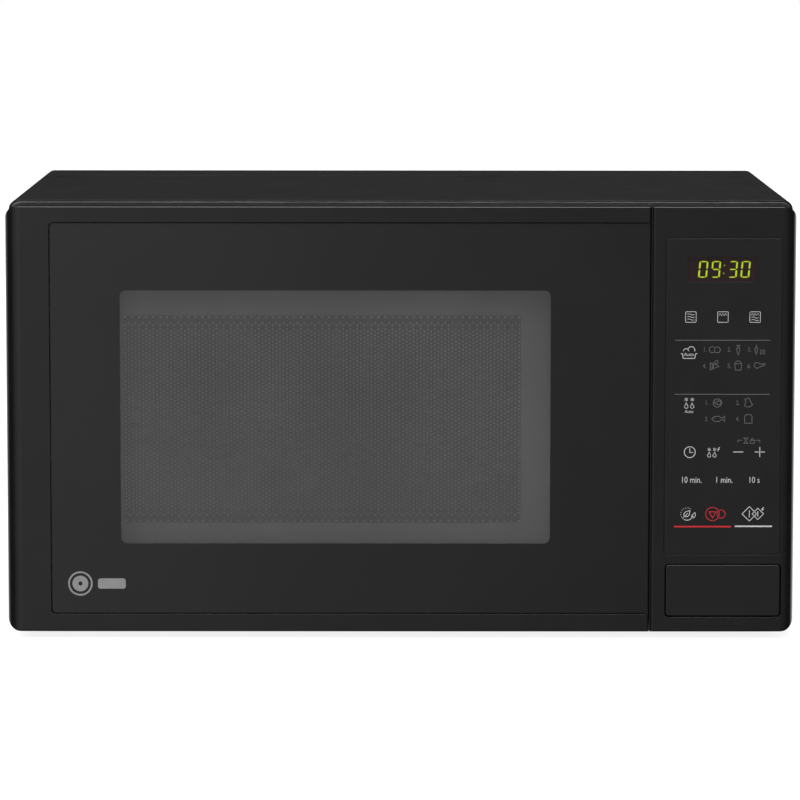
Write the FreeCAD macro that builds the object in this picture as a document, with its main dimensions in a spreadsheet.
"""A free-standing microwave oven with a grill, as an assembly of separate pieces.

Millimetres. +X is to the right as the user faces the door, +Y runs towards the back, +Z is up.
The origin is on the surface that the oven stands on, under the middle of its outer box.
"""
import FreeCAD, Part
import itertools
import operator
import os
from collections import namedtuple

import Sketcher
from FreeCAD import Placement, Rotation, Vector

doc = FreeCAD.newDocument("MicrowaveOven")
sheet = doc.addObject("Spreadsheet::Sheet", "Sizes")
sheet_rows = itertools.count(1)
sub_parts = []


# ---------------------------------------------------------------- sizes and their arithmetic

OPERATIONS = {"+": operator.add, "-": operator.sub, "*": operator.mul, "/": operator.truediv}


class Size:
    """A number together with the spreadsheet expression that it comes from."""

    def __init__(self, value, text):
        self.value = float(value)
        self.text = text

    def __add__(self, other):
        return worked_out(self, "+", other)

    def __radd__(self, other):
        return worked_out(other, "+", self)

    def __sub__(self, other):
        return worked_out(self, "-", other)

    def __rsub__(self, other):
        return worked_out(other, "-", self)

    def __mul__(self, other):
        return worked_out(self, "*", other)

    def __rmul__(self, other):
        return worked_out(other, "*", self)

    def __truediv__(self, other):
        return worked_out(self, "/", other)

    def __neg__(self):
        return worked_out(0, "-", self)

    def __float__(self):
        return self.value


def as_size(number):
    """A plain number as a Size."""
    if isinstance(number, Size):
        return number
    return Size(number, f"({float(number)})")


def worked_out(left, sign, right):
    """The sum, difference, product or quotient of two sizes."""
    left, right = as_size(left), as_size(right)
    value = OPERATIONS[sign](left.value, right.value)
    return Size(value, f"({left.text} {sign} {right.text})")


def cell(alias, value):
    """Put a driving dimension in the next row of the sheet."""
    place = f"A{next(sheet_rows)}"
    sheet.set(place, str(value))
    sheet.setAlias(place, alias)
    return Size(value, f"Sizes.{alias}")


# whole oven
half_width = cell("half_width", 227.5)
top_height = cell("top_height", 252)
front_face = cell("front_face", -160)
back_face = cell("back_face", 160)
sheet_steel = cell("sheet_steel", 0.8)
moulding = cell("moulding", 2.4)
foot_height = cell("foot_height", 8)

# cabinet
cabinet_front = cell("cabinet_front", -127.5)
cabinet_back = cell("cabinet_back", 153.5)
cabinet_bottom = cell("cabinet_bottom", 9)
cabinet_corner = cell("cabinet_corner", 5.5)
field_drop = cell("field_drop", 0.35)
field_inset = cell("field_inset", 12)
field_front = cell("field_front", -74)
field_back = cell("field_back", 100)
field_corner = cell("field_corner", 18)
frame_front = cell("frame_front", -128.5)
rear_panel_front = cell("rear_panel_front", 151.6)

# oven cavity
cavity_left = cell("cavity_left", -199)
cavity_right = cell("cavity_right", 107)
cavity_floor = cell("cavity_floor", 28)
cavity_ceiling = cell("cavity_ceiling", 228)
cavity_back = cell("cavity_back", 149)
cavity_corner = cell("cavity_corner", 10)

# door
door_right = cell("door_right", 143.4)
door_bottom = cell("door_bottom", 4)
door_top = cell("door_top", 250.7)
bezel_back = cell("bezel_back", -132)
front_corner = cell("front_corner", 8)
side_corner = cell("side_corner", 9)
front_round = cell("front_round", 1.2)
rear_round = cell("rear_round", 0.8)
inset_left = cell("inset_left", -202)
inset_bottom = cell("inset_bottom", 14.3)
inset_top = cell("inset_top", 241.3)
inset_depth = cell("inset_depth", 1)
panel_sheet = cell("panel_sheet", 1.5)
window_left = cell("window_left", -161.6)
window_right = cell("window_right", 86.2)
window_bottom = cell("window_bottom", 55.5)
window_top = cell("window_top", 202.1)
window_corner = cell("window_corner", 3.5)
choke_left = cell("choke_left", -211)
choke_right = cell("choke_right", 122)
choke_bottom = cell("choke_bottom", 16)
choke_top = cell("choke_top", 239)
choke_front = cell("choke_front", -147)
choke_back = cell("choke_back", -131.2)
cover_sheet = cell("cover_sheet", 1.6)
see_through_margin = cell("see_through_margin", 5)

# hinge
pin_across = cell("pin_across", -218)
pin_depth = cell("pin_depth", -142)
pin_radius = cell("pin_radius", 2.5)
pin_play = cell("pin_play", 0.05)
bush_radius = cell("bush_radius", 5)
tab_sheet = cell("tab_sheet", 2)
tab_half_width = cell("tab_half_width", 4.5)
tab_level = cell("tab_level", 12.4)
slot_height = cell("slot_height", 3.2)
slot_radius = cell("slot_radius", 12.8)
bush_length = cell("bush_length", 9)

# control side
control_left = cell("control_left", 144.6)
control_back = cell("control_back", -129)
pad_left = cell("pad_left", 152)
pad_right = cell("pad_right", 219.2)
pad_bottom = cell("pad_bottom", 49)
pad_top = cell("pad_top", 232.7)
pad_sheet = cell("pad_sheet", 0.45)
pad_play = cell("pad_play", 0.4)
pad_corner = cell("pad_corner", 1)
opening_corner = cell("opening_corner", 2.5)
rib_width = cell("rib_width", 0.7)
display_left = cell("display_left", 164.8)
display_right = cell("display_right", 204.7)
display_bottom = cell("display_bottom", 207.3)
display_top = cell("display_top", 221.5)
button_left = cell("button_left", 153.3)
button_right = cell("button_right", 219.4)
button_bottom = cell("button_bottom", 13.2)
button_top = cell("button_top", 43.1)
button_gap = cell("button_gap", 0.6)

# latch
hook_left = cell("hook_left", 128)
hook_sheet = cell("hook_sheet", 4)
hook_tip = cell("hook_tip", -108)
nose_length = cell("nose_length", 6)
low_hook = cell("low_hook", 54)
high_hook = cell("high_hook", 204)
low_nose = cell("low_nose", 9)
high_nose = cell("high_nose", 6)
hook_lift = cell("hook_lift", 4)
latch_play = cell("latch_play", 0.3)
lever_depth = cell("lever_depth", -120.5)
lever_level = cell("lever_level", 37)
lever_hub = cell("lever_hub", 4)
lever_bore = cell("lever_bore", 2.06)
lever_pin_radius = cell("lever_pin_radius", 2)

# turntable
spin_across = cell("spin_across", -46)
spin_depth = cell("spin_depth", 11)
tray_radius = cell("tray_radius", 122.5)
tray_glass = cell("tray_glass", 4)
tray_rise = cell("tray_rise", 14.5)
roller_radius = cell("roller_radius", 7)
roller_width = cell("roller_width", 7)
ring_radius = cell("ring_radius", 82)
ring_section = cell("ring_section", 3)
running_gap = cell("running_gap", 0.3)
shaft_radius = cell("shaft_radius", 3.5)

# microwave and cooling parts beside the cavity
feed_depth = cell("feed_depth", 10)
feed_level = cell("feed_level", 145)
guide_right = cell("guide_right", 140)
yoke_length = cell("yoke_length", 50)
fan_across = cell("fan_across", 170)
fan_level = cell("fan_level", 150)
fan_radius = cell("fan_radius", 40)
lamp_depth = cell("lamp_depth", 90)
lamp_level = cell("lamp_level", 200)
cord_across = cell("cord_across", 205)
cord_level = cell("cord_level", 34)
cord_radius = cell("cord_radius", 4)

# places that several pieces share
door_left = -half_width
frame_back = frame_front + sheet_steel
cover_back = choke_back + cover_sheet
panel_front = front_face + inset_depth
panel_back = panel_front + panel_sheet
upper_tab_level = door_bottom + door_top - tab_level
bush_bottom = tab_level + slot_height / 2
hook_right = hook_left + hook_sheet
cavity_outer_right = cavity_right + sheet_steel
base_top = foot_height + sheet_steel
rear_panel_back = rear_panel_front + sheet_steel
roller_level = cavity_floor + running_gap + roller_radius
tray_bottom = roller_level + roller_radius + running_gap
past = 1  # how far a cutting shape reaches beyond what it cuts
doc.recompute()


# ---------------------------------------------------------------- solids from primitives

def bind(thing, **sizes):
    """Bind properties of an object to the sheet."""
    for name, size in sizes.items():
        thing.setExpression(name, as_size(size).text)


def move(thing, x, y, z):
    """Bind the object's place to the sheet."""
    for letter, size in zip("xyz", (x, y, z)):
        thing.setExpression(f"Placement.Base.{letter}", as_size(size).text)
    return thing


def box(x, y, z):
    """A box between a pair of limits along each axis."""
    thing = doc.addObject("Part::Box", "Box")
    bind(thing, Length=x[1] - x[0], Width=y[1] - y[0], Height=z[1] - z[0])
    return move(thing, x[0], y[0], z[0])


def about(middle, half):
    """The pair of limits at an equal distance either side of a middle."""
    return middle - half, middle + half


TURNED = {
    "x": Rotation(Vector(0, 1, 0), 90),
    "y": Rotation(Vector(1, 0, 0), -90),
    "z": Rotation(),
}


def rod(axis, span, centre, radius):
    """A cylinder along an axis; centre is its other two coordinates, in X, Y, Z order."""
    thing = doc.addObject("Part::Cylinder", "Rod")
    thing.Placement = Placement(Vector(), TURNED[axis])
    bind(thing, Radius=radius, Height=span[1] - span[0])
    place = list(centre)
    place.insert("xyz".index(axis), span[0])
    return move(thing, *place)


def fused(*pieces):
    """One solid made of several that meet."""
    thing = doc.addObject("Part::MultiFuse", "Fused")
    thing.Shapes = list(pieces)
    thing.Refine = True
    return thing


def group(*pieces):
    """Separate solids kept in one node."""
    thing = doc.addObject("Part::Compound", "Group")
    thing.Links = list(pieces)
    return thing


def cut(base, *tools):
    """A solid with others taken out of it."""
    thing = doc.addObject("Part::Cut", "Cut")
    thing.Base = base
    thing.Tool = tools[0] if len(tools) == 1 else fused(*tools)
    thing.Refine = True
    return thing


def common(first, second):
    """What two solids share."""
    thing = doc.addObject("Part::MultiCommon", "Common")
    thing.Shapes = [first, second]
    return thing


def tube(axis, span, centre, outer, inner):
    """A cylinder with a bore through it."""
    bore = rod(axis, (span[0] - past, span[1] + past), centre, inner)
    return cut(rod(axis, span, centre, outer), bore)


def spring(axis, foot, length, coil_radius, wire_radius, turns):
    """A helical spring standing on its foot along an axis."""
    helix = doc.addObject("Part::Helix", "Helix")
    bind(helix, Height=length, Pitch=length / turns, Radius=coil_radius)
    section = doc.addObject("Part::Circle", "Wire")
    section.Placement = Placement(Vector(), Rotation(Vector(1, 0, 0), 90))
    bind(section, Radius=wire_radius)
    move(section, coil_radius, 0, 0)
    doc.recompute()
    sweep = doc.addObject("Part::Sweep", "Spring")
    sweep.Sections = [section]
    sweep.Spine = (helix, ["Edge1"])
    sweep.Solid = True
    sweep.Frenet = True
    sweep.Placement = Placement(Vector(), TURNED[axis])
    return move(sweep, *foot)


def sub_part(label, thing):
    """Name a finished piece; its label names its file."""
    thing.Label = label
    sub_parts.append(thing)
    return thing


# ---------------------------------------------------------------- solids from sketches

Disc = namedtuple("Disc", "u v radius")
SKETCH_PLANES = {"x": "YZ_Plane", "y": "XZ_Plane", "z": "XY_Plane"}
ORIGIN = (-1, 1)
SAME = 1e-6


def body(label):
    """A new PartDesign body that is a sub-part."""
    return sub_part(label, doc.addObject("PartDesign::Body", "Body"))


def origin_feature(owner, role):
    """A body's own origin plane or axis."""
    return next(f for f in owner.Origin.OriginFeatures if f.Role == role)


def hold(sketch, kind, index, point, size):
    """Fix one coordinate of a sketch point to an expression."""
    size = as_size(size)
    if abs(size.value) < SAME:
        axis_line = -2 if kind == "DistanceX" else -1
        sketch.addConstraint(Sketcher.Constraint("PointOnObject", index, point, axis_line))
        return
    number = sketch.addConstraint(Sketcher.Constraint(kind, *ORIGIN, index, point, size.value))
    sketch.setExpression(f"Constraints[{number}]", size.text)


def draw_disc(sketch, disc):
    """A circle held by its centre and radius."""
    centre = Vector(float(disc.u), float(disc.v), 0)
    index = sketch.addGeometry(Part.Circle(centre, Vector(0, 0, 1), float(disc.radius)))
    hold(sketch, "DistanceX", index, 3, disc.u)
    hold(sketch, "DistanceY", index, 3, disc.v)
    number = sketch.addConstraint(Sketcher.Constraint("Radius", index, float(disc.radius)))
    sketch.setExpression(f"Constraints[{number}]", as_size(disc.radius).text)


def draw_outline(sketch, points):
    """A closed run of straight lines whose corners are held by expressions."""
    places = [Vector(float(u), float(v), 0) for u, v in points]
    lines = [
        sketch.addGeometry(Part.LineSegment(place, places[(i + 1) % len(places)]))
        for i, place in enumerate(places)
    ]
    for i, line in enumerate(lines):
        following = lines[(i + 1) % len(lines)]
        sketch.addConstraint(Sketcher.Constraint("Coincident", line, 2, following, 1))
    for line, (u, v) in zip(lines, points):
        hold(sketch, "DistanceX", line, 1, u)
        hold(sketch, "DistanceY", line, 1, v)


def sketch_at(owner, axis, distance, outlines):
    """A sketch across an axis; its own axes are the other two, in X, Y, Z order."""
    sketch = owner.newObject("Sketcher::SketchObject", "Sketch")
    sketch.AttachmentSupport = [(origin_feature(owner, SKETCH_PLANES[axis]), "")]
    sketch.MapMode = "FlatFace"
    # the normal of a sketch on the XZ plane points along -Y
    offset = -as_size(distance) if axis == "y" else as_size(distance)
    sketch.setExpression("AttachmentOffset.Base.z", offset.text)
    for outline in outlines:
        draw = draw_disc if isinstance(outline, Disc) else draw_outline
        draw(sketch, outline)
    return sketch


def rectangle(u, v):
    """The corners between two pairs of limits."""
    return [(u[0], v[0]), (u[1], v[0]), (u[1], v[1]), (u[0], v[1])]


def pad(owner, axis, span, *outlines):
    """Add the outlines' material between two limits along an axis."""
    start = span[1] if axis == "y" else span[0]
    feature = owner.newObject("PartDesign::Pad", "Pad")
    feature.Profile = sketch_at(owner, axis, start, outlines)
    bind(feature, Length=span[1] - span[0])
    return feature


def pocket(owner, axis, span, *outlines):
    """Take the outlines' material away between two limits along an axis."""
    start = span[0] if axis == "y" else span[1]
    feature = owner.newObject("PartDesign::Pocket", "Pocket")
    feature.Profile = sketch_at(owner, axis, start, outlines)
    bind(feature, Length=span[1] - span[0])
    return feature


def repeat(owner, feature, axis, length, count):
    """Copies of a feature in a line, the last one a length away from the first."""
    pattern = owner.newObject("PartDesign::LinearPattern", "LinearPattern")
    pattern.Originals = [feature]
    pattern.Direction = (origin_feature(owner, axis.upper() + "_Axis"), [""])
    bind(pattern, Length=length)
    pattern.Occurrences = count
    owner.Tip = pattern
    return pattern


def turn_round(owner, feature, axis, count):
    """Copies of a feature spaced evenly round an axis."""
    pattern = owner.newObject("PartDesign::PolarPattern", "PolarPattern")
    pattern.Originals = [feature]
    pattern.Axis = (origin_feature(owner, axis.upper() + "_Axis"), [""])
    pattern.Angle = 360
    pattern.Occurrences = count
    owner.Tip = pattern
    return pattern


def revolve(owner, outline):
    """A solid turned round the body's own Z axis from an outline of radius and height."""
    sketch = sketch_at(owner, "y", 0, [outline])
    feature = owner.newObject("PartDesign::Revolution", "Revolution")
    feature.Profile = sketch
    feature.ReferenceAxis = (sketch, ["V_Axis"])
    feature.Angle = 360
    return feature


def along(axis, **limits):
    """Picks straight edges along an axis whose middle lies within the limits given."""
    heading = Vector(*[float(letter == axis) for letter in "xyz"])

    def picks(edge):
        start, end = edge.Vertexes[0].Point, edge.Vertexes[-1].Point
        if edge.Curve.TypeId != "Part::GeomLine" or (end - start).cross(heading).Length > SAME:
            return False
        middle = (start + end) / 2
        return all(
            float(low) - SAME <= getattr(middle, letter) <= float(high) + SAME
            for letter, (low, high) in limits.items()
        )

    return picks


def lying_at(axis, level):
    """Picks edges that lie in the plane at a level along an axis."""
    def picks(edge):
        points = edge.discretize(5)
        return all(abs(getattr(point, axis) - float(level)) < SAME for point in points)

    return picks


def soften(owner, radius, picks, kind="Fillet"):
    """Round or bevel the picked edges of a body's last feature."""
    doc.recompute()
    base = owner.Tip
    names = [f"Edge{i}" for i, edge in enumerate(base.Shape.Edges, 1) if picks(edge)]
    if not names:
        raise ValueError(f"{owner.Label}: no edge to soften")
    feature = owner.newObject(f"PartDesign::{kind}", kind)
    feature.Base = (base, names)
    size_name = "Radius" if kind == "Fillet" else "Size"
    bind(feature, **{size_name: radius})
    return feature


# ---------------------------------------------------------------- cabinet

def outer_cabinet():
    """The bent sheet over the top and both sides, with a shallow sunken field on top."""
    cabinet = body("outer_cabinet")
    long_way = (cabinet_front, cabinet_back)
    inside = (-half_width + sheet_steel, half_width - sheet_steel)
    outline = rectangle((-half_width, half_width), (cabinet_bottom, top_height))
    pad(cabinet, "y", long_way, outline)
    reach = (cabinet_front - past, cabinet_back + past)
    hollow_top = top_height - sheet_steel
    pocket(cabinet, "y", reach, rectangle(inside, (cabinet_bottom - past, hollow_top)))
    soften(cabinet, cabinet_corner - sheet_steel, along("y", z=(hollow_top, hollow_top)))
    soften(cabinet, cabinet_corner, along("y", z=(top_height, top_height)))
    across = (-half_width + field_inset, half_width - field_inset)
    deep = (field_front, field_back)
    # the sheet hangs lower under the field, so that it keeps one thickness
    under_across = (across[0] - sheet_steel, across[1] + sheet_steel)
    under_deep = (deep[0] - sheet_steel, deep[1] + sheet_steel)
    under = (hollow_top - field_drop, hollow_top)
    pad(cabinet, "z", under, rectangle(under_across, under_deep))
    soften(cabinet, field_corner + sheet_steel, along("z", z=under, y=under_deep))
    field_floor = top_height - field_drop
    pocket(cabinet, "z", (field_floor, top_height + past), rectangle(across, deep))
    soften(cabinet, field_corner, along("z", z=(field_floor, top_height), y=deep))
    soften(cabinet, field_drop * 0.9, lying_at("z", field_floor), "Chamfer")
    side_louvres(cabinet)


def side_louvres(cabinet):
    """Rows of air slots: low and high on the right side, and high on the left side."""
    slot_width, slot_length, run, count = 3, 24, 99, 12
    rows = (
        (half_width - past, half_width + past, 40, 60),
        (half_width - past, half_width + past, 40, 190),
        (-half_width - past, -half_width + past, 40, 190),
    )
    for left, right, first, level in rows:
        slot = rectangle((first, first + slot_width), (level, level + slot_length))
        feature = pocket(cabinet, "x", (left, right), slot)
        repeat(cabinet, feature, "y", run, count)


def base_plate():
    """The bottom sheet with turned-up sides and air slots under the transformer."""
    plate = body("base_plate")
    inside = half_width - sheet_steel - 0.2
    flange = 12
    deep = (frame_back, rear_panel_front)
    pad(plate, "z", (foot_height, base_top), rectangle((-inside, inside), deep))
    side = rectangle((-inside, -inside + sheet_steel), deep)
    other_side = rectangle((inside - sheet_steel, inside), deep)
    pad(plate, "z", (base_top, foot_height + flange), side, other_side)
    through = (foot_height - past, base_top + past)
    first = pocket(plate, "z", through, rectangle((126, 214), (-86, -83)))
    repeat(plate, first, "y", 90, 11)
    first = pocket(plate, "z", through, rectangle((-150, -60), (95, 98)))
    repeat(plate, first, "y", 36, 5)


def rear_panel():
    """The back sheet: fan grille, exhaust slots, cord hole and screw holes."""
    panel = body("rear_panel")
    inside = half_width - sheet_steel - 0.2
    deep = (rear_panel_front, rear_panel_back)
    through = (rear_panel_front - past, rear_panel_back + past)
    skin_top = top_height - sheet_steel - 0.2
    pad(panel, "y", deep, rectangle((-inside, inside), (cabinet_bottom, skin_top)))
    soften(panel, cabinet_corner - sheet_steel, along("y", z=(skin_top, skin_top)))
    first = pocket(panel, "y", through, rectangle((132, 135), (fan_level - 38, fan_level - 4)))
    repeat(panel, first, "x", 73, 12)
    first = pocket(panel, "y", through, rectangle((132, 135), (fan_level + 4, fan_level + 38)))
    repeat(panel, first, "x", 73, 12)
    first = pocket(panel, "y", through, rectangle((-190, -187), (196, 222)))
    repeat(panel, first, "x", 84, 13)
    holes = [Disc(x, z, 2.2) for x, z in screw_places()]
    pocket(panel, "y", through, Disc(cord_across, cord_level, cord_radius * 2), *holes)


def screw_places():
    """Where the rear screws sit, across and up."""
    across = half_width - 13
    return [(side * across, level) for side in (-1, 1) for level in (22, 90, 236)]


def cabinet_screws():
    """Pan-head screws that hold the rear panel."""
    screws = []
    for x, z in screw_places():
        head = rod("y", (rear_panel_back, rear_panel_back + 1.8), (x, z), 4)
        shank = rod("y", (rear_panel_front - 6, rear_panel_back), (x, z), 1.9)
        screws.append(fused(head, shank))
    sub_part("cabinet_screws", group(*screws))


def front_frame():
    """The steel face that the door closes on, with openings for cavity, hooks and hinges."""
    frame = body("front_frame")
    through = (frame_front - past, frame_back + past)
    wide = (-half_width + sheet_steel + 0.2, half_width - sheet_steel - 0.2)
    skin_top = top_height - sheet_steel - 0.2
    low = door_bottom + 1
    pad(frame, "y", (frame_front, frame_back), rectangle(wide, (low, skin_top)))
    soften(frame, cabinet_corner, along("y", z=(skin_top, skin_top)))
    soften(frame, front_corner, along("y", z=(low, low)))
    opening = rectangle((cavity_left, cavity_right), (cavity_floor, cavity_ceiling))
    behind_controls = rectangle((control_left + 3, half_width - 6), (cabinet_bottom + 6, skin_top - 7))
    pocket(frame, "y", through, opening, behind_controls)
    inner_corners = along(
        "y", x=(cavity_left, cavity_right), z=(cavity_floor, cavity_ceiling)
    )
    soften(frame, cavity_corner, inner_corners)
    slots = [
        rectangle(
            about(pin_across, tab_half_width + 0.5), about(level, tab_sheet / 2 + 0.5)
        )
        for level in (tab_level, upper_tab_level)
    ]
    pocket(frame, "y", through, *slots, *hook_slots())


def hook_slots():
    """The outlines that let the two hooks pass and lift."""
    wide = (hook_left - 2, hook_right + 4)
    margin = 1.5
    return [
        rectangle(wide, (level - nose - margin, level + 6 + hook_lift + margin))
        for level, nose in ((low_hook, low_nose), (high_hook, high_nose))
    ]


def feet():
    """Four rubber feet."""
    across, front, back = 185, -105, 125
    cones = []
    for x in (-across, across):
        for y in (front, back):
            foot = doc.addObject("Part::Cone", "Foot")
            bind(foot, Radius1=9, Radius2=11, Height=foot_height)
            cones.append(move(foot, x, y, 0))
    sub_part("feet", group(*cones))


def rear_spacers():
    """Two blocks that keep the back off the wall."""
    blocks = [
        box(about(as_size(x), 16), (rear_panel_back, back_face), (196, 206)) for x in (40, -40)
    ]
    sub_part("rear_spacers", group(*blocks))


def cord_bush():
    """The flanged bush in the rear panel that the mains lead comes out of."""
    centre = (cord_across, cord_level)
    neck = rod("y", (rear_panel_front - 8, rear_panel_back), centre, cord_radius * 2 - 0.1)
    flange = rod("y", (rear_panel_back, rear_panel_back + 2.6), centre, cord_radius * 2 + 3)
    bore = rod("y", (rear_panel_front - 9, rear_panel_back + 9), centre, cord_radius)
    sub_part("cord_bush", cut(fused(neck, flange), bore))


# ---------------------------------------------------------------- oven cavity

def oven_cavity():
    """The cooking space: a steel liner with its feed, lamp, exhaust, grill and drive openings."""
    liner = body("oven_cavity")
    outer = rectangle(
        (cavity_left - sheet_steel, cavity_outer_right),
        (cavity_floor - sheet_steel, cavity_ceiling + sheet_steel),
    )
    inner = rectangle((cavity_left, cavity_right), (cavity_floor, cavity_ceiling))
    pad(liner, "y", (frame_back, cavity_back + sheet_steel), outer)
    pocket(liner, "y", (frame_back - past, cavity_back), inner)
    corners = along("y", x=(cavity_left, cavity_right), z=(cavity_floor, cavity_ceiling))
    soften(liner, cavity_corner, corners)
    outer_corners = along(
        "y",
        x=(outer[0][0], outer[1][0]),
        z=(outer[1][1], outer[2][1]),
        y=about((frame_back + cavity_back + sheet_steel) / 2, 0.1),
    )
    soften(liner, cavity_corner + sheet_steel, outer_corners)
    pocket(liner, "z", (cavity_floor - 2, cavity_floor + 2), Disc(spin_across, spin_depth, 9))
    wall = (cavity_right - past, cavity_outer_right + past)
    feed = rectangle(about(feed_depth, 30), about(feed_level, 25))
    pocket(liner, "x", wall, feed)
    pocket(liner, "x", wall, *hole_grid(lamp_depth, lamp_level, 5, 4))
    other_wall = (cavity_left - 2, cavity_left + 2)
    pocket(liner, "x", other_wall, *hole_grid(as_size(100), as_size(205), 9, 4))
    ceiling = (cavity_ceiling - past, cavity_ceiling + 2)
    first_row, second_row = rectangle((-136, -130), (-28, 12)), rectangle((-136, -130), (28, 68))
    first = pocket(liner, "z", ceiling, first_row, second_row)
    repeat(liner, first, "x", 176, 17)


def hole_grid(middle_depth, middle_level, columns, rows):
    """Round perforations in a square grid."""
    pitch, radius = 5, 1.6
    return [
        Disc(
            middle_depth + (column - (columns - 1) / 2) * pitch,
            middle_level + (row - (rows - 1) / 2) * pitch,
            radius,
        )
        for column in range(columns)
        for row in range(rows)
    ]


def waveguide_cover():
    """The mica sheet over the feed opening, inside the cavity."""
    cover = body("waveguide_cover")
    thickness = 0.6
    outline = rectangle(about(feed_depth, 38), about(feed_level, 33))
    pad(cover, "x", (cavity_right - thickness, cavity_right), outline)
    soften(cover, 4, along("x"))


def grill_parts():
    """Quartz tubes over the slotted ceiling, under a folded reflector."""
    low = cavity_ceiling + sheet_steel
    high = low + 17
    across, deep = (-150, 60), (-40, 80)
    shell = box(across, deep, (low, high))
    inner_across = (across[0] + sheet_steel, across[1] - sheet_steel)
    inner_deep = (deep[0] + sheet_steel, deep[1] - sheet_steel)
    hollow = box(inner_across, inner_deep, (low - past, high - sheet_steel))
    level = (low + high) / 2
    reach = (-158, 68)
    holes = [rod("x", reach, (y, level), 5.6) for y in (-8, 48)]
    sub_part("grill_reflector", cut(shell, hollow, *holes))
    tubes = [tube("x", (-155, 65), (y, level), 5.4, 4.2) for y in (-8, 48)]
    sub_part("grill_heaters", group(*tubes))


# ---------------------------------------------------------------- turntable

def turntable_drive():
    """The slow motor under the floor, its shaft and the three-armed coupler."""
    centre = (spin_across, spin_depth)
    floor_under = cavity_floor - sheet_steel
    can = rod("z", (floor_under - 15, floor_under), centre, 24.5)
    ears = box(about(spin_across, 32), about(spin_depth, 5), (floor_under - 1, floor_under))
    bore = rod("z", (floor_under - 7, floor_under + past), centre, shaft_radius + 0.1)
    sub_part("turntable_motor", cut(fused(can, ears), bore))
    shaft_top = cavity_floor + 2
    shaft = rod("z", (floor_under - 6, shaft_top), centre, shaft_radius)
    sub_part("motor_shaft", shaft)

    coupler = body("turntable_coupler")
    move(coupler, spin_across, spin_depth, 0)
    arm_top = tray_bottom - running_gap
    pad(coupler, "z", (shaft_top, arm_top), Disc(0, 0, 10))
    arm = pad(coupler, "z", (arm_top - 6, arm_top), rectangle((0, 25), (-3, 3)))
    turn_round(coupler, arm, "z", 3)


def glass_tray():
    """The round glass tray, with three lugs under it that the coupler's arms push."""
    tray = body("glass_tray")
    move(tray, spin_across, spin_depth, tray_bottom)
    flat = tray_radius - 26
    outline = [
        (0, 0),
        (flat, 0),
        (tray_radius - 9, 3.2),
        (tray_radius, tray_rise - 2),
        (tray_radius, tray_rise),
        (tray_radius - 3, tray_rise),
        (tray_radius - 12, 7),
        (flat, tray_glass),
        (0, tray_glass),
    ]
    revolve(tray, outline)
    lug = pad(tray, "z", (-4, 0.5), Disc(-20, 0, 4))
    turn_round(tray, lug, "z", 3)


def roller_ring():
    """The ring that spaces the rollers, with a stub axle for each."""
    ring = body("roller_ring")
    move(ring, spin_across, spin_depth, roller_level)
    half = ring_section / 2
    level = (-half, half)
    pad(ring, "z", level, Disc(0, 0, ring_radius + half))
    pocket(ring, "z", (-half - past, half + past), Disc(0, 0, ring_radius - half))
    stub = pad(ring, "x", (ring_radius, ring_radius + half + roller_width + 1.4), Disc(0, 0, 1.5))
    turn_round(ring, stub, "z", 3)


def rollers():
    """Three rollers on the ring's stub axles."""
    inner = ring_radius + ring_section / 2 + 0.4
    for number in range(3):
        roller = body(f"roller_{number + 1}")
        angle = number * 120
        roller.Placement = Placement(Vector(), Rotation(Vector(0, 0, 1), angle))
        move(roller, spin_across, spin_depth, roller_level)
        pad(roller, "x", (inner, inner + roller_width), Disc(0, 0, roller_radius))
        soften(roller, 1, lambda edge: edge.Curve.TypeId == "Part::GeomCircle")
        pocket(roller, "x", (inner - past, inner + roller_width + past), Disc(0, 0, 1.56))


# ---------------------------------------------------------------- door

def rounded_front(left, right, back, outer_side):
    """A block whose silhouette and upright front edge are rounded on its outer side."""
    outer = (right, right) if outer_side == "right" else (left, left)
    silhouette = doc.addObject("PartDesign::Body", "Silhouette")
    pad(silhouette, "y", (front_face, back), rectangle((left, right), (door_bottom, door_top)))
    soften(silhouette, front_corner, along("y", x=outer))
    soften(silhouette, front_round, lying_at("y", front_face))
    soften(silhouette, rear_round, lying_at("y", back))
    plan = doc.addObject("PartDesign::Body", "Plan")
    pad(plan, "z", (door_bottom, door_top), rectangle((left, right), (front_face, back)))
    soften(plan, side_corner, along("z", x=outer, y=(front_face, front_face)))
    return common(silhouette, plan)


def hollow_behind(left, right, back, outer_side):
    """The hollow that leaves a wall of one thickness behind such a block's face and sides."""
    across = (left + moulding, right - moulding)
    high = (door_bottom + moulding, door_top - moulding)
    front = front_face + moulding
    outer = (across[1], across[1]) if outer_side == "right" else (across[0], across[0])
    silhouette = doc.addObject("PartDesign::Body", "HollowSilhouette")
    pad(silhouette, "y", (front, back + past), rectangle(across, high))
    soften(silhouette, front_corner - moulding, along("y", x=outer))
    plan = doc.addObject("PartDesign::Body", "HollowPlan")
    pad(plan, "z", high, rectangle(across, (front, back + past)))
    soften(plan, side_corner - moulding, along("z", x=outer, y=(front, front)))
    return common(silhouette, plan)


def rounded_hole(across, deep, high, corner, *sides):
    """A cutter for a rectangular hole seen from the front, with its corners rounded."""
    hole = doc.addObject("PartDesign::Body", "RoundedHole")
    pad(hole, "y", deep, rectangle(across, high))
    soften(hole, corner, along("y", x=sides or across))
    return hole


def hinge_slots():
    """The slots in the door's ends that the hinge tabs sit in, wide enough for the swing."""
    return [
        rod("z", about(level, slot_height / 2), (pin_across, pin_depth), slot_radius)
        for level in (tab_level, upper_tab_level)
    ]


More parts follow.
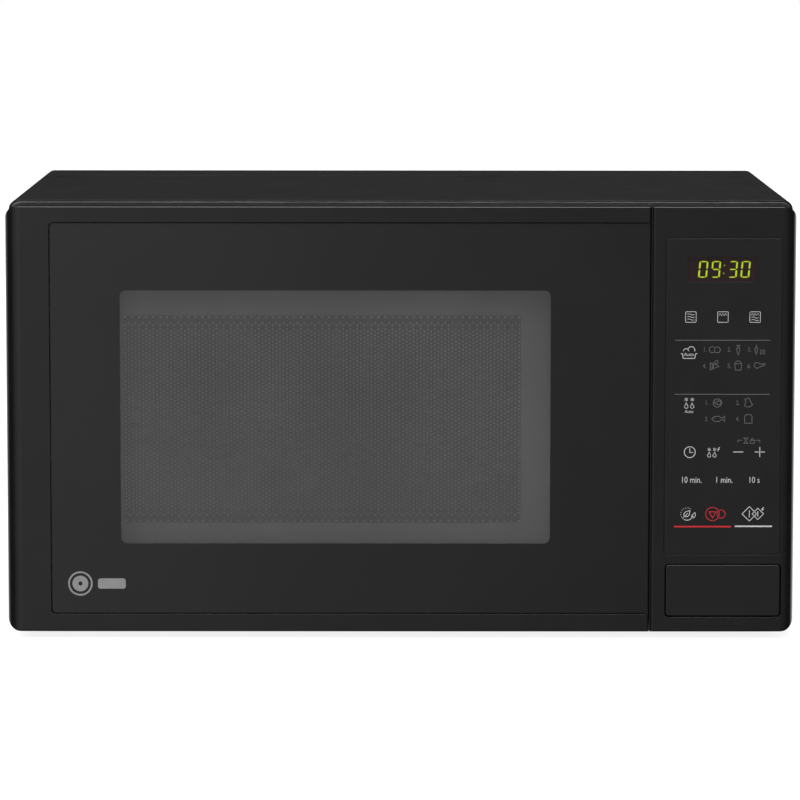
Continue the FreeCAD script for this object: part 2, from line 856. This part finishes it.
def door_bezel():
    """The moulded frame round the door: two rails and the hinge side, hollow from behind."""
    block = rounded_front(door_left, door_right, bezel_back, "left")
    inside = hollow_behind(door_left, door_right, bezel_back, "left")
    opening = rounded_hole(
        (inset_left, door_right + past),
        (front_face - past, front_face + moulding + past),
        (inset_bottom, inset_top),
        opening_corner,
        inset_left,
        inset_left,
    )
    bushes = ((bush_bottom, bush_bottom + bush_length), upper_bush_span())
    across = (door_left + moulding / 2, pin_across + bush_radius + 1)
    bosses = [box(across, about(pin_depth, bush_radius + 1), span) for span in bushes]
    spring_seat = box((hook_left - 2, door_right - moulding / 2), (-146, -134), (236, 238))
    seats = [
        rod("z", (span[0] - past, span[1] + past), (pin_across, pin_depth), bush_radius + 0.05)
        for span in bushes
    ]
    back_corner = box(
        (door_left - past, door_left + 3), (bezel_back - 3, bezel_back + past), (0, top_height)
    )
    shell = cut(block, inside, opening)
    whole = fused(shell, *bosses, spring_seat)
    sub_part("door_bezel", cut(whole, *seats, *hinge_slots(), back_corner))


def upper_bush_span():
    """The lower and upper ends of the top hinge bush."""
    top = upper_tab_level - slot_height / 2
    return top - bush_length, top


def hinge_bushes():
    """The two plastic bushes that turn on the hinge pins."""
    centre = (pin_across, pin_depth)
    spans = ((bush_bottom, bush_bottom + bush_length), upper_bush_span())
    bushes = [tube("z", span, centre, bush_radius, pin_radius + pin_play) for span in spans]
    sub_part("hinge_bushes", group(*bushes))


def hinge_brackets():
    """Steel brackets behind the front frame; each tab reaches out to carry a pin."""
    plate_back = frame_back + 1.5
    brackets = []
    for level, reach in ((tab_level, 18), (upper_tab_level, -18)):
        low, high = about(level, tab_sheet / 2)
        ends = (low, high + reach) if reach > 0 else (low + reach, high)
        plate = box((-half_width + 3, pin_across + 12), (frame_back, plate_back), ends)
        arm = box(about(pin_across, tab_half_width), (pin_depth, plate_back), (low, high))
        nose = rod("z", (low, high), (pin_across, pin_depth), tab_half_width)
        brackets.append(fused(plate, arm, nose))
    sub_part("hinge_brackets", group(*brackets))


def hinge_pins():
    """The pins that stand on the tabs, the lower one up and the upper one down."""
    centre = (pin_across, pin_depth)
    lower = tab_level + tab_sheet / 2
    upper = upper_tab_level - tab_sheet / 2
    lower_pin = rod("z", (lower, bush_bottom + bush_length - 1), centre, pin_radius)
    upper_pin = rod("z", (upper_bush_span()[0] + 1, upper), centre, pin_radius)
    sub_part("hinge_pins", group(lower_pin, upper_pin))


def door_front():
    """The inset gloss panel and the smoked window that fills its opening."""
    play = 0.5
    deep = (panel_front, panel_back)
    panel = body("door_front_panel")
    outline = rectangle(
        (inset_left + play, door_right - play), (inset_bottom + play, inset_top - play)
    )
    window = rectangle((window_left, window_right), (window_bottom, window_top))
    pad(panel, "y", deep, outline)
    soften(panel, 2.2, along("y", x=(inset_left, inset_left + 1)))
    pocket(panel, "y", (panel_front - past, panel_back + past), window)
    corners = along("y", x=(window_left, window_right), z=(window_bottom, window_top))
    soften(panel, window_corner, corners)
    pane = body("door_window")
    pad(pane, "y", deep, window)
    soften(pane, window_corner, along("y"))


def door_screen():
    """The thin steel screen behind the window and the clear film behind it."""
    margin = see_through_margin
    across = (window_left - margin, window_right + margin)
    high = (window_bottom - margin, window_top + margin)
    screen = body("door_screen")
    edge = 6
    outline = rectangle((across[0] - edge, across[1] + edge), (high[0] - edge, high[1] + edge))
    pad(screen, "y", (choke_front - 0.6, choke_front), outline)
    soften(screen, 4, along("y"))
    film = body("door_inner_film")
    pad(film, "y", (choke_front + 0.1, choke_front + 0.5), rectangle(across, high))


def choke_parts():
    """The folded steel choke channel round the screen, and the plastic cover over it."""
    margin = see_through_margin
    across = (window_left - margin, window_right + margin)
    high = (window_bottom - margin, window_top + margin)
    around = ((choke_left, choke_right), (choke_bottom, choke_top))
    wall = sheet_steel

    frame = body("door_choke_frame")
    pad(frame, "y", (choke_front, choke_back), rectangle(*around))
    soften(frame, 5, along("y"))
    channel = rectangle(
        (choke_left + wall, choke_right - wall), (choke_bottom + wall, choke_top - wall)
    )
    island = rectangle((across[0] - wall, across[1] + wall), (high[0] - wall, high[1] + wall))
    pocket(frame, "y", (choke_front + wall, choke_back + past), channel, island)
    pocket(frame, "y", (choke_front - past, choke_back + past), rectangle(across, high))

    cover = body("choke_cover")
    skirt = 1.2
    wide = (choke_left - 0.5, door_right - moulding - 1)
    tall = (choke_bottom - 1.5, choke_top + 1.5)
    pad(cover, "y", (choke_back, cover_back), rectangle(wide, tall))
    soften(cover, 5, along("y"))
    pad(cover, "y", (choke_front + wall, choke_back + wall), rectangle(across, high))
    inner = rectangle((across[0] + skirt, across[1] - skirt), (high[0] + skirt, high[1] - skirt))
    pocket(cover, "y", (choke_front, cover_back + past), inner)
    pocket(cover, "y", (choke_back - past, cover_back + past), *hook_slots())


def latch_hooks():
    """The sliding latch strip in the door, with a hook near each end."""
    hooks = body("latch_hooks")
    strip = (-143, -137)
    nose_back = hook_tip - nose_length
    high_end = high_hook + 6
    outline = [
        (strip[0], low_hook),
        (nose_back, low_hook),
        (nose_back, low_hook - low_nose),
        (hook_tip, low_hook - low_nose),
        (hook_tip, low_hook + 6),
        (strip[1], low_hook + 6),
        (strip[1], high_hook),
        (nose_back, high_hook),
        (nose_back, high_hook - high_nose),
        (hook_tip, high_hook - high_nose),
        (hook_tip, high_end),
        (strip[1], high_end),
        (strip[1], high_end + 6),
        (strip[0], high_end + 6),
    ]
    pad(hooks, "x", (hook_left, hook_right), outline)
    foot = (hook_left + hook_sheet / 2, (strip[0] + strip[1]) / 2, high_end + 6.6)
    coil = spring("z", foot, 236 - 0.6 - foot[2], as_size(2.4), as_size(0.4), 6)
    sub_part("latch_spring", coil)


# ---------------------------------------------------------------- control side

def control_housing():
    """The moulded housing beside the door, with a seat for the keypad and a hole for the button."""
    block = rounded_front(control_left, half_width, control_back, "right")
    inside = hollow_behind(control_left, half_width, control_back, "right")
    across = (control_left, half_width)
    shelf = (button_top + 4, button_top + 4 + moulding)
    cross_wall = (control_back - 2, control_back)
    shelf_block = box(across, (front_face, control_back + 2 * past), shelf)
    wall_block = box(across, (cross_wall[0], control_back + 2 * past), (door_bottom, shelf[0]))
    inside = cut(inside, shelf_block, wall_block)
    seat = rounded_hole(
        (pad_left, pad_right),
        (front_face - past, front_face + pad_sheet + 0.05),
        (pad_bottom, pad_top),
        pad_corner + pad_play,
    )
    # a rib down the door side of the housing narrows the gap behind the rounded edges
    rib = box(
        (control_left - rib_width, control_left + moulding),
        (front_face + 2.5, control_back - rear_round),
        (door_bottom, door_top - rear_round),
    )
    display = box(
        (display_left, display_right),
        (front_face - past, front_face + moulding + past),
        (display_bottom, display_top),
    )
    button_hole = rounded_hole(
        (button_left - button_gap, button_right + button_gap),
        (front_face - past, front_face + moulding + past),
        (button_bottom - button_gap, button_top + button_gap),
        opening_corner,
    )
    stem_hole = box((154, 164), (cross_wall[0] - past, cross_wall[1] + past), (16, 26))
    housing = fused(cut(block, inside, seat, display, button_hole, stem_hole), rib)
    sub_part("control_housing", housing)


def keypad():
    """The printed membrane, the display window in it and the display behind."""
    play = pad_play
    deep = (front_face + 0.05, front_face + 0.05 + pad_sheet)
    display = ((display_left, display_right), (display_bottom, display_top))
    membrane = body("keypad_membrane")
    outline = rectangle((pad_left + play, pad_right - play), (pad_bottom + play, pad_top - play))
    pad(membrane, "y", deep, outline)
    soften(membrane, pad_corner, along("y"))
    soften(membrane, 0.2, lying_at("y", deep[0]))
    pocket(membrane, "y", (deep[0] - past, deep[1] + past), rectangle(*display))
    lens_back = front_face + moulding - 0.2
    sub_part("display_lens", box(display[0], (deep[0], lens_back), display[1]))
    module_front = front_face + moulding + 0.2
    module = box(
        (display_left - 2, display_right + 2),
        (module_front, module_front + 8),
        (display_bottom - 2, display_top + 2),
    )
    sub_part("display_module", module)


def control_board():
    """The circuit board behind the keypad, with the larger parts on its back."""
    face = front_face + moulding + 8.2
    back = face + 1.6
    board = body("control_board")
    pad(board, "y", (face, back), rectangle((152, 221), (60, 228)))
    soften(board, 2, along("y"))
    relays = [box((x, x + 16), (back, back + 15), (176, 204)) for x in (156, 178, 200)]
    transformer = box((158, 186), (back, back + 22), (116, 142))
    connectors = [box((156, 178), (back, back + 8), (z, z + 7)) for z in (68, 84)]
    cans = [rod("y", (back, back + 14), (205, z), 5) for z in (96, 112, 128)]
    sub_part("board_components", group(*relays, transformer, *connectors, *cans))


def door_button():
    """The wide button that opens the door, its stem and its return spring."""
    across, high = (button_left, button_right), (button_bottom, button_top)
    cap_front = front_face + 0.3
    cap_back = cap_front + moulding
    skirt_back = cap_back + 9
    wall = 1.6
    spigot = (205, 28)
    button = body("door_button")
    pad(button, "y", (cap_front, skirt_back), rectangle(across, high))
    soften(button, 2, along("y"))
    soften(button, 0.6, lying_at("y", cap_front))
    inner = rectangle((across[0] + wall, across[1] - wall), (high[0] + wall, high[1] - wall))
    pocket(button, "y", (cap_back, skirt_back + past), inner)
    stem_back = lever_depth - lever_hub - 0.1
    stem = rectangle((156, 162), (19.5, 22.5))
    pad(button, "y", (cap_back, stem_back), stem)
    pad(button, "y", (cap_back, cap_back + 7), Disc(*spigot, 3))
    cross_wall = control_back - 2
    foot = (spigot[0], cap_back + 0.8, spigot[1])
    coil = spring("y", foot, cross_wall - 0.8 - foot[1], as_size(5), as_size(0.6), 7)
    sub_part("button_spring", coil)


def release_lever():
    """The rocking lever: the button's stem pushes its lower arm, its finger lifts the hooks."""
    lever = body("release_lever")
    hub = Disc(lever_depth, lever_level, lever_hub)
    finger = [
        (lever_depth - 2, lever_level + 3),
        (lever_depth + 1, lever_level + 3.8),
        (lever_depth + 11.5, lever_level + 7.5),
        (lever_depth + 12, lever_level + 4.5),
        (lever_depth + 1.5, lever_level - 3.4),
    ]
    pad(lever, "x", (126, 166), hub)
    pad(lever, "x", (126, hook_left + 1.8), finger)
    arm = rectangle(about(lever_depth - 1.5, 2), (lever_level - 20, lever_level))
    pad(lever, "x", (152, 165), arm)
    bore = Disc(lever_depth, lever_level, lever_bore)
    pocket(lever, "x", (125, 167), bore)
    pin = rod("x", (119, 173), (lever_depth, lever_level), lever_pin_radius)
    sub_part("lever_pin", pin)


def latch_board():
    """The moulded board that carries the hook ledges, the lever and the interlock switches."""
    face, back = frame_back + 0.2, frame_back + 2.7
    nose_low = low_hook - low_nose
    nose_high = high_hook - high_nose
    tall = box((112, 142), (face, back), (31, 225))
    foot = box((142, 173), (face, back), (31, 70))
    lugs = [
        box((x, x + 3.5), (back - past, lever_depth + 5), (31, 43)) for x in (120, 168)
    ]
    ledges = [
        box((hook_left + 2.2, 137.5), (back - past, hook_tip - 6), (nose - 3.1, nose - latch_play))
        for nose in (nose_low, nose_high)
    ]
    arms = [
        box((x, x + 7), (back - past, -104), span)
        for x in (116, 137)
        for span in ((42, 62), (198, 208))
    ]
    pin_hole = rod("x", (110, 180), (lever_depth, lever_level), lever_pin_radius + 0.05)
    passages = [
        box((hook_left - 2, hook_right + 4), (face - past, back + past), span)
        for span in ((nose_low - 0.2, 66), (nose_high - 0.2, 216))
    ]
    board = cut(fused(tall, foot), *passages)
    sub_part("latch_board", cut(fused(board, *lugs, *ledges, *arms), pin_hole))


def interlock_switches():
    """Three flat switches behind the hooks, each with a plunger that a hook's tip pushes."""
    length, depth, thickness = 27.8, 16, 10.3
    front = -104
    middle = hook_left + hook_sheet / 2
    switches = {"primary_plunger": 203, "secondary_plunger": 57, "monitor_plunger": 46.5}
    cases = []
    for name, level in switches.items():
        level = as_size(level)
        case = box(
            about(middle, length / 2), (front, front + depth), about(level, thickness / 2)
        )
        well = box(about(middle, 1.6), (front - past, front + 5), about(level, 1.6))
        cases.append(cut(case, well))
        plunger = box(
            about(middle, 1.4), (hook_tip + 0.4, front + 3), about(level, 1.4)
        )
        sub_part(name, plunger)
    sub_part("interlock_switches", group(*cases))


# ---------------------------------------------------------------- microwave and cooling parts

def magnetron():
    """The magnetron on its waveguide: yoke and filter box, finned anode and antenna."""
    deep, high = about(feed_depth, 40), about(feed_level, 33)
    wall = as_size(1)
    duct = box((cavity_outer_right, guide_right), deep, high)
    passage = box(
        (cavity_outer_right - past, guide_right - wall),
        (deep[0] + wall, deep[1] - wall),
        (high[0] + wall, high[1] - wall),
    )
    centre = (feed_depth, feed_level)
    port = rod("x", (guide_right - 3, guide_right + past), centre, 11)
    sub_part("waveguide", cut(duct, passage, port))

    yoke_right = guide_right + yoke_length
    yoke_high = about(feed_level, 30)
    yoke = box((guide_right, yoke_right), deep, yoke_high)
    window = box(
        (guide_right + 1.5, yoke_right - 1.5),
        (deep[0] - past, deep[1] + past),
        (yoke_high[0] + 1.5, yoke_high[1] - 1.5),
    )
    yoke_port = rod("x", (guide_right - past, guide_right + 3), centre, 11)
    filter_box = box((yoke_right, yoke_right + 31), about(feed_depth, 30), about(feed_level, 27))
    sub_part("magnetron_yoke", group(cut(yoke, window, yoke_port), filter_box))

    anode = rod("x", (guide_right + 1.5, yoke_right - 1.5), centre, 19)
    fin_count, fin_sheet = 9, 0.6
    pitch = (yoke_length - 14) / (fin_count - 1)
    fins = []
    for number in range(fin_count):
        left = guide_right + 7 + pitch * number
        fins.append(box((left, left + fin_sheet), about(feed_depth, 38), about(feed_level, 27)))
    sub_part("magnetron_fins", fused(anode, *fins))
    antenna = rod("x", (guide_right - 22, guide_right + 1.5), centre, 7.5)
    sub_part("magnetron_antenna", antenna)


def high_voltage_parts():
    """The transformer on the base plate, the capacitor and the diode."""
    core = box((128, 208), (-60, -16), (base_top, base_top + 66))
    slots = [box((x, x + 14), (-61, -15), (base_top + 13, base_top + 53)) for x in (144, 178)]
    sub_part("transformer_core", cut(core, *slots))
    winding = box((144.2, 191.8), (-74, -2), (base_top + 14, base_top + 52))
    leg = box((157.9, 178.1), (-60.1, -15.9), (base_top, base_top + 66))
    sub_part("transformer_coils", cut(winding, leg))
    capacitor = body("hv_capacitor")
    pad(capacitor, "z", (base_top, base_top + 88), rectangle((145, 200), (30, 62)))
    soften(capacitor, 15.9, along("z"))
    sub_part("hv_diode", rod("z", (base_top + 10, base_top + 30), (212, 46), 3))


def cooling_fan():
    """The fan that blows through the magnetron: shroud, motor and five-bladed wheel."""
    centre = (fan_across, fan_level)
    bar = (124, 126)
    shroud = box(about(fan_across, 46), (bar[0], rear_panel_front), about(fan_level, 46))
    throat = rod("y", (bar[0] - past, rear_panel_front + past), centre, fan_radius + 3)
    cross_bar = box(about(fan_across, 45), bar, about(fan_level, 7))
    shaft_hole = rod("y", (bar[0] - past, bar[1] + past), centre, 1.8)
    sub_part("fan_shroud", cut(fused(cut(shroud, throat), cross_bar), shaft_hole))

    motor = box(about(fan_across, 20), (100, bar[0]), about(fan_level, 20))
    bore = rod("y", (110, bar[0] + past), centre, 1.6)
    sub_part("fan_motor", cut(motor, bore))

    wheel = body("fan_blade")
    move(wheel, fan_across, 0, fan_level)
    pad(wheel, "y", (130, 145), Disc(0, 0, 9))
    pad(wheel, "y", (112, 131), Disc(0, 0, 1.5))
    blade = pad(wheel, "z", (7, fan_radius), [(-8, 131), (-6, 131), (8, 144), (6, 144)])
    turn_round(wheel, blade, "y", 5)


def lamp():
    """The oven lamp in its tubular holder on the cavity's right wall."""
    centre = (lamp_depth, lamp_level)
    wall = cavity_outer_right
    plate = box((wall, wall + 0.8), about(lamp_depth, 22), about(lamp_level, 18))
    barrel = rod("x", (wall, wall + 42), centre, 14)
    hollow = rod("x", (wall - past, wall + 40), centre, 12.6)
    cup = tube("x", (wall + 28, wall + 41), centre, 9.5, 7.1)
    sub_part("lamp_socket", fused(cut(fused(plate, barrel), hollow), cup))
    bulb = body("oven_lamp")
    pad(bulb, "x", (wall + 4, wall + 23), Disc(*centre, 10))
    soften(bulb, 7, lying_at("x", wall + 4))
    pad(bulb, "x", (wall + 23, wall + 36), Disc(*centre, 7))


# ---------------------------------------------------------------- making and writing

def make_all():
    """Build every sub-part."""
    outer_cabinet()
    base_plate()
    rear_panel()
    cabinet_screws()
    front_frame()
    feet()
    rear_spacers()
    cord_bush()
    oven_cavity()
    waveguide_cover()
    grill_parts()
    turntable_drive()
    glass_tray()
    roller_ring()
    rollers()
    door_bezel()
    hinge_bushes()
    hinge_brackets()
    hinge_pins()
    door_front()
    door_screen()
    choke_parts()
    latch_hooks()
    control_housing()
    keypad()
    control_board()
    door_button()
    release_lever()
    latch_board()
    interlock_switches()
    magnetron()
    high_voltage_parts()
    cooling_fan()
    lamp()
    doc.recompute()


def faults():
    """Objects that failed, shapes that aren't sound and pockets that cut nothing."""
    found = [f"{thing.Label}: {thing.State}" for thing in doc.Objects
             if "Invalid" in thing.State or "Error" in thing.State]
    for thing in sub_parts:
        if thing.Shape.isNull() or not thing.Shape.isValid() or not thing.Shape.Solids:
            found.append(f"{thing.Label}: no sound shape")
    for thing in doc.Objects:
        if thing.TypeId == "PartDesign::Pocket":
            before = thing.BaseFeature.Shape.Volume
            if thing.Shape.Volume > before - SAME:
                found.append(f"{thing.Label}: cuts nothing")
    return found


def main():
    make_all()
    problems = faults()
    if problems:
        raise SystemExit("\n".join(problems))
    os.makedirs("parts", exist_ok=True)
    for thing in sub_parts:
        thing.Shape.exportStep(f"parts/{thing.Label}.step")
    print(len(sub_parts), "sub-parts written")


main()
